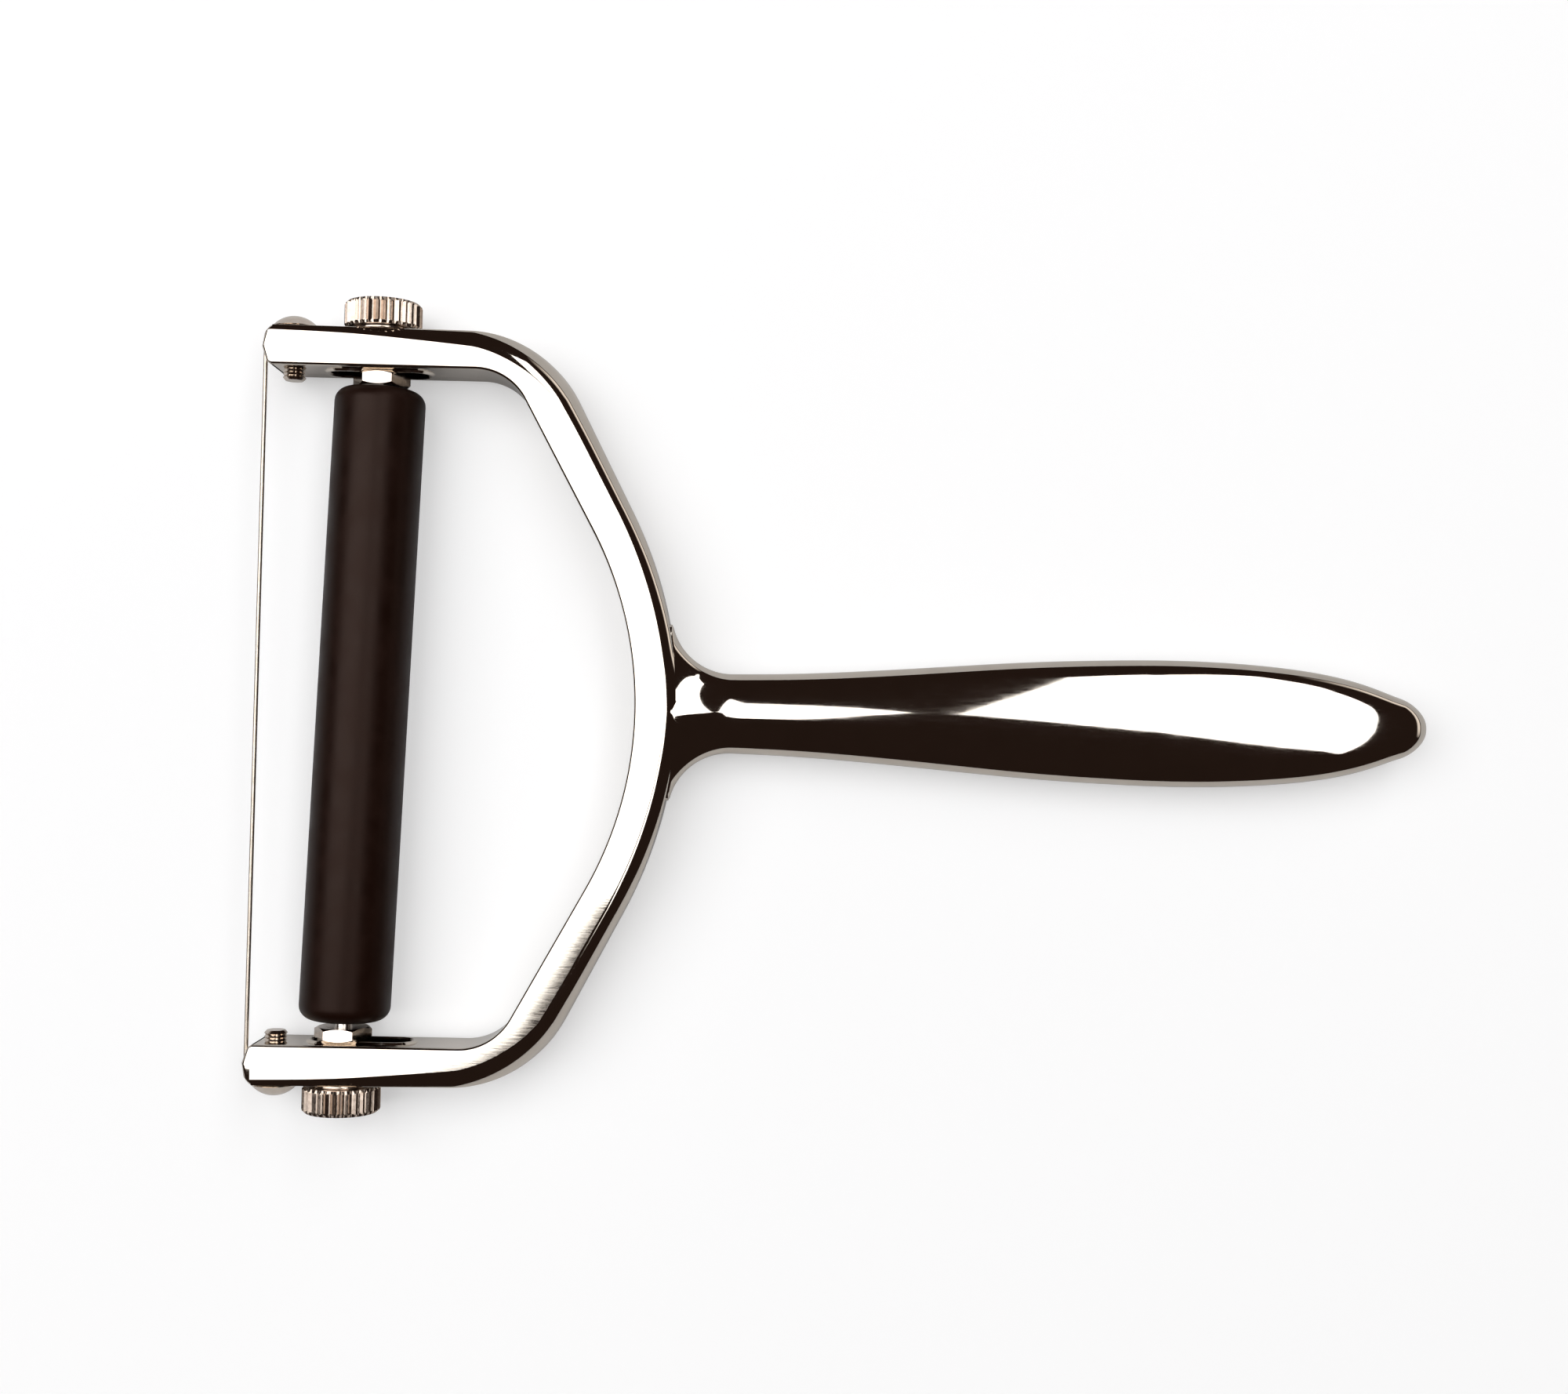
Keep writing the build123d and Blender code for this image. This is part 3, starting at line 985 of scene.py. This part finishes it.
@dataclass
class Clamp:
    """A thumbscrew, its washer and its nut, which hold one end of the axle. Sizes in millimetres."""

    layout: Layout
    side: Side
    knob_radius: float = 5.4
    knob_length: float = 3.7
    flutes: int = 32
    flute_points: int = 8
    flute_depth: float = 0.42
    # A flute is a wedge: its walls' slope against a plain wedge's, and the power that hollows them
    flute_slope: float = 1.15
    flute_hollow: float = 0.9
    flute_margin: float = 0.05
    knob_bevel: float = 0.4
    bevel_strip: float = 0.15
    face_fall: float = 0.04
    face_strip: float = 0.5
    rim_width: float = 1.6
    rim_slope: float = 0.4
    recess_depth: float = 0.12
    recess_middle: float = 0.8
    shank_radius: float = 1.95
    shank_sink: float = 0.6
    shank_bevel: float = 0.2
    shank_gap: float = 0.05
    bore_radius: float = 1.4
    bore_depth: float = 6.0
    overrun: float = 1.0
    washer_radius: float = 4.3
    washer_thickness: float = 0.5
    washer_gap: float = 0.15
    washer_edge: float = 0.12
    washer_edge_round: float = 0.035
    # How far sliding faces stand off each other, so that they never cross
    play: float = 0.015
    nut_flats: float = 7.0
    nut_thickness: float = 1.75
    nut_bevel: float = 0.55
    nut_bevel_angle: float = 30.0
    nut_margin: float = 0.05
    nut_strip: float = 0.03
    hole_bevel: float = 0.3
    hole_sink: float = 0.01

    def seat(self, half_span: float) -> Matrix:
        """The place of a piece whose zero stands at a distance from the middle line."""
        sizes = self.layout
        return outward(self.side, sizes.clamp_x(self.side) * MM, half_span * MM, sizes.middle_z * MM)

    def fluted_head(self) -> bpy.types.Object:
        """Turn the thumbscrew's head and press the flutes into its rim.

        Returns:
            The head, with its washer's side at zero.
        """
        r, bevel, length = self.knob_radius, self.knob_bevel, self.knob_length
        edge = [(r - bevel - self.face_strip, 0.0), (r - bevel, self.face_fall), (r, bevel),
                (r, bevel + self.bevel_strip)]
        recess = length - self.recess_depth
        profile = [(self.shank_radius - self.shank_gap, 0.0)] + edge
        profile += [(radius, length - height) for radius, height in edge[::-1]]
        profile += [(r - self.rim_width, length), (r - self.rim_width - self.rim_slope, recess),
                    (self.recess_middle, recess)]
        head = lathe(f"{self.side.word}_thumbscrew_head", profile, self.flute_points * self.flutes)
        for vertex in head.data.vertices:
            radius = hypot(vertex.co.x, vertex.co.y)
            if radius < (r - self.flute_margin) * MM:
                continue
            turn = atan2(vertex.co.y, vertex.co.x) * self.flutes / (2 * pi)
            share = 1 - abs((turn % 1.0) - 0.5) * 2
            wedge = min(1.0, self.flute_slope * share) ** self.flute_hollow
            scale = 1 - self.flute_depth * MM / radius * wedge
            vertex.co.x *= scale
            vertex.co.y *= scale
        cap_end(head)
        tidy_shell(head)
        return head

    def build_knob(self, finish: MetalFinish) -> bpy.types.Object:
        """Model the thumbscrew: a fluted head with bevelled rims and a bored shank.

        Args:
            finish: its finish.

        Returns:
            The thumbscrew.
        """
        washer_face = self.layout.arm_outer + self.washer_thickness
        inside = self.layout.nut_face - washer_face
        knob = self.fluted_head()
        combine(knob, turned("shank_tool", [
            (self.shank_radius, self.shank_sink), (self.shank_radius, inside + self.shank_bevel),
            (self.shank_radius - self.shank_bevel, inside)]), Work.ADD)
        combine(knob, turned("bore_tool", [
            (self.bore_radius, inside - self.overrun),
            (self.bore_radius, inside + self.bore_depth)]), Work.CUT)
        place(knob, self.seat(washer_face))
        smooth(knob, angle=28)
        knob.data.materials.append(finish.material())
        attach(knob, f"{self.side.word}_knob")
        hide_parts(f"{self.side.word}_thumbscrew")
        return knob

    def build_washer(self, finish: MetalFinish) -> bpy.types.Object:
        """Turn the thin ring between head and arm.

        Args:
            finish: its finish.

        Returns:
            The washer.
        """
        r, edge, soft = self.washer_radius, self.washer_edge, self.washer_edge_round
        hole = self.shank_radius + self.washer_gap
        thickness = self.washer_thickness - 2 * self.play
        half = [(hole, edge / 2), (hole + edge, 0.0), (r - edge, 0.0), (r - soft, soft), (r, edge)]
        profile = half + [(radius, thickness - height) for radius, height in half[::-1]]
        washer = lathe(f"{self.side.word}_thumbscrew_washer", profile, FINE, closed=True)
        place(washer, self.seat(self.layout.arm_outer + self.play))
        tidy_shell(washer)
        smooth(washer, angle=35)
        washer.data.materials.append(finish.material())
        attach(washer, f"{self.side.word}_washer")
        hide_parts(f"{self.side.word}_washer")
        return washer

    def build_nut(self, finish: MetalFinish) -> bpy.types.Object:
        """Model the hexagon nut with its bevelled corners.

        Args:
            finish: its finish.

        Returns:
            The nut.
        """
        thickness = self.nut_thickness
        corner = self.nut_flats / sqrt(3)
        rise = self.nut_bevel * tan(radians(self.nut_bevel_angle))
        deselect()
        bpy.ops.mesh.primitive_cylinder_add(vertices=6, radius=corner * MM, depth=thickness * MM,
                                            location=(0, 0, thickness / 2 * MM), rotation=(0, 0, radians(30)))
        nut = bpy.context.object
        nut.name = f"{self.side.word}_hexagon_nut"
        bpy.ops.object.transform_apply(location=True, rotation=True, scale=True)
        cone = [(corner - self.nut_bevel, 0.0), (corner + self.nut_margin, rise + self.nut_strip)]
        cone += [(radius, thickness - height) for radius, height in cone[::-1]]
        combine(nut, turned("cone_tool", cone, FINE), Work.TRIM)
        hole_radius = self.shank_radius + self.shank_gap
        combine(nut, turned("hole_tool", [
            (hole_radius + self.hole_bevel, -self.hole_sink), (hole_radius, self.hole_bevel),
            (hole_radius, thickness + self.overrun)]), Work.CUT)
        place(nut, self.seat(self.layout.nut_face - self.play))
        smooth(nut, angle=20)
        nut.data.materials.append(finish.material())
        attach(nut, f"{self.side.word}_clamp")
        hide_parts(f"{self.side.word}_lock_nut")
        return nut


@dataclass
class WireEnd:
    """The domed screw at an arm's tip that holds the wire. Sizes in millimetres."""

    layout: Layout
    side: Side
    reach: float = 3.6
    radius: float = 1.6
    head_radius: float = 3.3
    head_height: float = 1.7
    head_start: float = 53.02
    inner_length: float = 1.4
    pitch: float = 0.5
    thread_depth: float = 0.2
    drive_width: float = 0.7
    drive_depth: float = 0.45
    cutter_height: float = 1.0
    cutter_length_share: float = 2.5
    point_radius: float = 0.6
    point_bevel: float = 0.35
    thread_start: float = 0.15
    seat_sink: float = 0.02
    rim_width: float = 0.1
    rim_height: float = 0.08
    dome_steps: int = 12
    dome_least: float = 0.1

    def build(self, finish: MetalFinish) -> bpy.types.Object:
        """Turn the screw, with its thread end inside the arm and a driver slot in its dome.

        Args:
            finish: its finish.

        Returns:
            The screw.
        """
        sizes = self.layout
        inside = sizes.arm_inner - self.inner_length - self.head_start
        dome = (self.head_radius**2 + self.head_height**2) / (2 * self.head_height)
        profile = [(self.point_radius, inside), (self.radius - self.point_bevel, inside)]
        for turn in range(int(self.inner_length / self.pitch) + 1):
            groove = inside + self.thread_start + turn * self.pitch
            profile += [(self.radius - self.thread_depth, groove), (self.radius, groove + self.pitch / 2)]
        profile += [(self.radius, -self.seat_sink), (self.head_radius - self.rim_width, 0.0),
                    (self.head_radius, self.rim_height)]
        for step in range(1, self.dome_steps):
            radius = self.head_radius * (1 - step / self.dome_steps)
            height = self.head_height - dome + sqrt(dome**2 - radius**2)
            profile.append((radius, max(height, self.dome_least)))
        screw = turned(f"{self.side.word}_wire_screw_dome", profile, FINE)
        deselect()
        middle = (self.head_height - self.drive_depth + self.cutter_height / 2) * MM
        bpy.ops.mesh.primitive_cube_add(size=1, location=(0, 0, middle))
        drive = bpy.context.object
        length = self.cutter_length_share * self.head_radius
        drive.scale = (length * MM, self.drive_width * MM, self.cutter_height * MM)
        bpy.ops.object.transform_apply(location=True, rotation=True, scale=True)
        combine(screw, drive, Work.CUT)
        spot = (sizes.x(self.reach) * MM, self.head_start * MM, sizes.middle_z * MM)
        place(screw, outward(self.side, *spot))
        smooth(screw, angle=35)
        screw.data.materials.append(finish.material())
        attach(screw, "frame")
        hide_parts(f"{self.side.word}_wire_screw")
        return screw


@dataclass
class CuttingWire:
    """The taut wire, hooked round both wire screws. Sizes in millimetres."""

    layout: Layout
    radius: float = 0.3
    proud: float = 0.1
    screw_reach: float = 3.6
    hook_radius: float = 1.95
    hook_turn: float = 290.0
    corner_radius: float = 1.5
    tip_bulge: float = 1.1
    # How far from the middle line the straight run has its points
    straight_spans: tuple[float, ...] = (0.0, 20.0, 40.0)
    tip_steps: int = 8
    corner_steps: int = 12
    hook_steps: int = 48
    tube_steps: int = 6

    def route(self) -> list[Triple]:
        """The points of the right half of the wire's line, from the middle to the hook's end.

        Returns:
            The points in millimetres.
        """
        sizes = self.layout
        arm_middle = sizes.arm_inner + sizes.arm_thickness / 2
        run = sizes.arm_outer + self.proud
        bulge = (sizes.arm_thickness**2 / 4 + self.tip_bulge**2) / (2 * self.tip_bulge)
        centre_x = sizes.x(self.proud) + bulge
        path = bulge + self.proud
        rise = run - self.corner_radius - arm_middle
        along = sqrt((path - self.corner_radius) ** 2 - rise**2)
        turn = degrees(atan2(rise, along))
        height = sizes.middle_z + self.hook_radius
        flat = [(sizes.wire_x, span) for span in self.straight_spans]
        flat += arc_points((centre_x, arm_middle), path, 180, 180 - turn, self.tip_steps)
        corner_centre = (centre_x - along, arm_middle + rise)
        flat += arc_points(corner_centre, self.corner_radius, 180 - turn, 90, self.corner_steps)[1:]
        screw = (sizes.x(self.screw_reach), sizes.middle_z)
        hook = arc_points(screw, self.hook_radius, 90, 90 - self.hook_turn, self.hook_steps)
        return [(x, y, height) for x, y in flat] + [(x, run, z) for x, z in hook]

    def build(self, finish: MetalFinish) -> bpy.types.Object:
        """Lay the wire along its route and make it a tube.

        Args:
            finish: its finish.

        Returns:
            The wire.
        """
        right = self.route()
        left = [(x, -y, z) for x, y, z in right[:0:-1]]
        points = left + right
        curve = bpy.data.curves.new("wire_line", "CURVE")
        curve.dimensions = "3D"
        curve.bevel_depth = self.radius * MM
        curve.bevel_resolution = self.tube_steps
        curve.use_fill_caps = True
        line = curve.splines.new("POLY")
        line.points.add(len(points) - 1)
        for point, spot in zip(line.points, points):
            point.co = (spot[0] * MM, spot[1] * MM, spot[2] * MM, 1)
        wire = bpy.data.objects.new("taut_wire", curve)
        bpy.context.scene.collection.objects.link(wire)
        pick(wire)
        bpy.ops.object.convert(target="MESH")
        wire = bpy.context.object
        tidy_shell(wire)
        smooth(wire, angle=60)
        wire.data.materials.append(finish.material())
        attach(wire, "frame")
        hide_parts("cutting_wire")
        return wire


# The studio and the camera


@dataclass
class Studio:
    """White paper, a dark room above it, two broad soft lights and the camera. Sizes in metres."""

    light_height: float = 1.5
    radiance: float = 3.0
    room_colour: Triple = (0.022, 0.013, 0.010)
    window_colour: Triple = (1.15, 1.06, 0.98)
    # The pale band low in the room: its heights in degrees, the way it stands and how wide it is there
    window_heights: Pair = (3.0, 13.0)
    window_way: Triple = (0.88, 0.48, 0.0)
    window_share: float = 0.82
    # Half the widths of its lower, upper and side edges. The upper one is negative, as the band ends there
    window_edges: Triple = (0.015, -0.04, 0.06)
    paper_colour: Triple = (0.63, 0.63, 0.635)
    # How much the paper glows where the camera sees it
    paper_glow: float = 0.425
    # The share of that glow in mirrors and clear pieces: none, as photographed metal shows the paper darker
    shiny_share: float = 0.0
    paper_size: float = 12.0
    # What the camera sees past the paper
    seen_white: Triple = (1.0, 1.0, 1.0)
    # The corners of the two soft boxes' cloths, as X and Y for each metre of height
    front_box: tuple[Pair, ...] = (
        (0.0635, 0.1225), (-0.0108, 0.3165), (-0.1, 0.56), (-0.25, 0.68), (-0.5, 0.72), (-1.5, 0.9),
        (-1.5, -0.27), (-0.33, -0.25), (-0.25, -0.236), (-0.205, -0.219), (-0.1795, -0.2105),
        (-0.1529, -0.193), (-0.1365, -0.167), (-0.1202, -0.139), (-0.1016, -0.110), (-0.078, -0.095),
        (-0.05, -0.128), (-0.012, -0.128), (0.0244, 0.0338))
    back_box: tuple[Pair, ...] = (
        (0.104, 0.1), (0.5099, -0.514), (0.53, -0.1), (0.66, 0.55), (0.68, 1.95), (0.2637, 1.383))
    camera_spot: Triple = (-0.01303, -0.00332, 0.26558)
    camera_target: Triple = (-0.00863, 0.00255, 0.0063)
    camera_roll: float = 1.296
    # In millimetres, as lenses are named
    focal_length: float = 42.16
    sensor_width: float = 36.0

    def paper(self) -> bpy.types.Object:
        """Lay the white paper under the slicer.

        Returns:
            The paper.
        """
        deselect()
        bpy.ops.mesh.primitive_plane_add(size=self.paper_size)
        paper = bpy.context.object
        paper.name = "white_paper"
        sheet = Sheet(bpy.data.materials.new("white_paper"))
        diffuse = sheet.node("ShaderNodeBsdfDiffuse")
        diffuse.inputs["Color"].default_value = (*self.paper_colour, 1)
        glow = sheet.node("ShaderNodeEmission")
        rays = sheet.node("ShaderNodeLightPath")
        shiny = sheet.node("ShaderNodeMath", operation="MAXIMUM")
        seen = sheet.node("ShaderNodeMath", operation="MULTIPLY_ADD")
        seen.inputs[1].default_value = self.shiny_share
        strength = sheet.node("ShaderNodeMath", operation="MULTIPLY")
        strength.inputs[1].default_value = self.paper_glow
        total = sheet.node("ShaderNodeAddShader")
        sheet.join(rays.outputs["Is Glossy Ray"], shiny.inputs[0])
        sheet.join(rays.outputs["Is Transmission Ray"], shiny.inputs[1])
        sheet.join(shiny.outputs[0], seen.inputs[0])
        sheet.join(rays.outputs["Is Camera Ray"], seen.inputs[2])
        sheet.join(seen.outputs[0], strength.inputs[0])
        sheet.join(strength.outputs[0], glow.inputs["Strength"])
        sheet.join(diffuse.outputs[0], total.inputs[0])
        sheet.join(glow.outputs[0], total.inputs[1])
        sheet.show(total.outputs[0])
        paper.data.materials.append(sheet.owner)
        return paper

    def room(self) -> None:
        """Surround the stage with a dark room, pale low down, which the camera sees as white paper."""
        sheet = Sheet(bpy.data.worlds.new("dark_room"))
        bpy.context.scene.world = sheet.owner
        way = sheet.node("ShaderNodeTexCoord").outputs["Generated"]
        parts = sheet.node("ShaderNodeSeparateXYZ")
        sheet.join(way, parts.inputs["Vector"])
        aim = sheet.node("ShaderNodeVectorMath", operation="DOT_PRODUCT")
        aim.inputs[1].default_value = self.window_way
        sheet.join(way, aim.inputs[0])
        rise = parts.outputs["Z"]
        limits = (*(sin(radians(angle)) for angle in self.window_heights), self.window_share)
        gates = [
            sheet.spread(value, 0, 1, limit - wide, limit + wide)
            for value, limit, wide in zip((rise, rise, aim.outputs["Value"]), limits, self.window_edges)]
        gate = gates[0]
        for edge in gates[1:]:
            both = sheet.node("ShaderNodeMath", operation="MULTIPLY")
            sheet.join(gate, both.inputs[0])
            sheet.join(edge, both.inputs[1])
            gate = both.outputs[0]
        seen = sheet.node("ShaderNodeLightPath").outputs["Is Camera Ray"]
        colours = (self.room_colour, self.window_colour, self.seen_white)
        dark, pale, white = (self.backdrop(sheet, colour) for colour in colours)
        sheet.show(self.either(sheet, seen, self.either(sheet, gate, dark, pale), white))

    def backdrop(self, sheet: Sheet, colour: Triple) -> bpy.types.NodeSocket:
        """A plain backdrop in the room's node sheet.

        Args:
            sheet: the room's node sheet.
            colour: the backdrop's colour.

        Returns:
            The backdrop's shader socket.
        """
        shade = sheet.node("ShaderNodeBackground")
        shade.inputs["Color"].default_value = (*colour, 1)
        return shade.outputs[0]

    def either(self, sheet: Sheet, share: bpy.types.NodeSocket, low: bpy.types.NodeSocket,
               high: bpy.types.NodeSocket) -> bpy.types.NodeSocket:
        """Go from one shader to another by a share.

        Args:
            sheet: the node sheet.
            share: the share's socket.
            low: the shader at 0.
            high: the shader at 1.

        Returns:
            The mixed shader's socket.
        """
        mixer = sheet.node("ShaderNodeMixShader")
        sheet.join(share, mixer.inputs["Fac"])
        sheet.join(low, mixer.inputs[1])
        sheet.join(high, mixer.inputs[2])
        return mixer.outputs[0]

    def soft_box(self, name: str, corners: tuple[Pair, ...]) -> bpy.types.Object:
        """Hang one broad soft box above the slicer.

        Args:
            name: the box's name.
            corners: its cloth's corners, as X and Y for each metre of height.

        Returns:
            The glowing cloth.
        """
        height = self.light_height
        points = [(x * height, y * height, height) for x, y in corners]
        cloth = mesh_object(name, points, [tuple(range(len(points)))])
        sheet = Sheet(bpy.data.materials.new(name))
        glow = sheet.node("ShaderNodeEmission")
        glow.inputs["Strength"].default_value = self.radiance
        sheet.show(glow.outputs[0])
        cloth.data.materials.append(sheet.owner)
        cloth.visible_camera = False
        return cloth

    def camera(self) -> bpy.types.Object:
        """Set up the camera almost straight above, turned as in the photograph.

        Returns:
            The camera.
        """
        data = bpy.data.cameras.new("camera")
        data.sensor_width = self.sensor_width
        data.lens = self.focal_length
        camera = bpy.data.objects.new("camera", data)
        bpy.context.scene.collection.objects.link(camera)
        back = (Vector(self.camera_spot) - Vector(self.camera_target)).normalized()
        right = Vector((cos(radians(self.camera_roll)), sin(radians(self.camera_roll)), 0))
        right = (right - back * right.dot(back)).normalized()
        turn = Matrix((right, back.cross(right), back)).transposed().to_4x4()
        camera.matrix_world = Matrix.Translation(self.camera_spot) @ turn
        bpy.context.scene.camera = camera
        return camera

    def build(self) -> None:
        """Set the whole stage."""
        self.paper()
        self.room()
        self.soft_box("front_soft_box", self.front_box)
        self.soft_box("back_soft_box", self.back_box)
        self.camera()
        bpy.context.scene.view_settings.view_transform = "Standard"


def main() -> None:
    """Build the slicer and its stage."""
    logging.basicConfig(level=logging.INFO, format="%(name)s: %(message)s")
    layout = Layout()
    finishes = Finishes()
    made = [YokeHandle(layout).build(finishes.casting)]
    roller = Roller(layout)
    made += [roller.build_sleeve(finishes.roller), roller.build_axle(finishes.axle)]
    for side in Side:
        clamp = Clamp(layout, side)
        made += [clamp.build_knob(finishes.knobs), clamp.build_washer(finishes.knobs)]
        made.append(clamp.build_nut(finishes.nuts))
        made.append(WireEnd(layout, side).build(finishes.screws))
    made.append(CuttingWire(layout).build(finishes.wire))
    Studio().build()


if __name__ == "__main__":
    main()
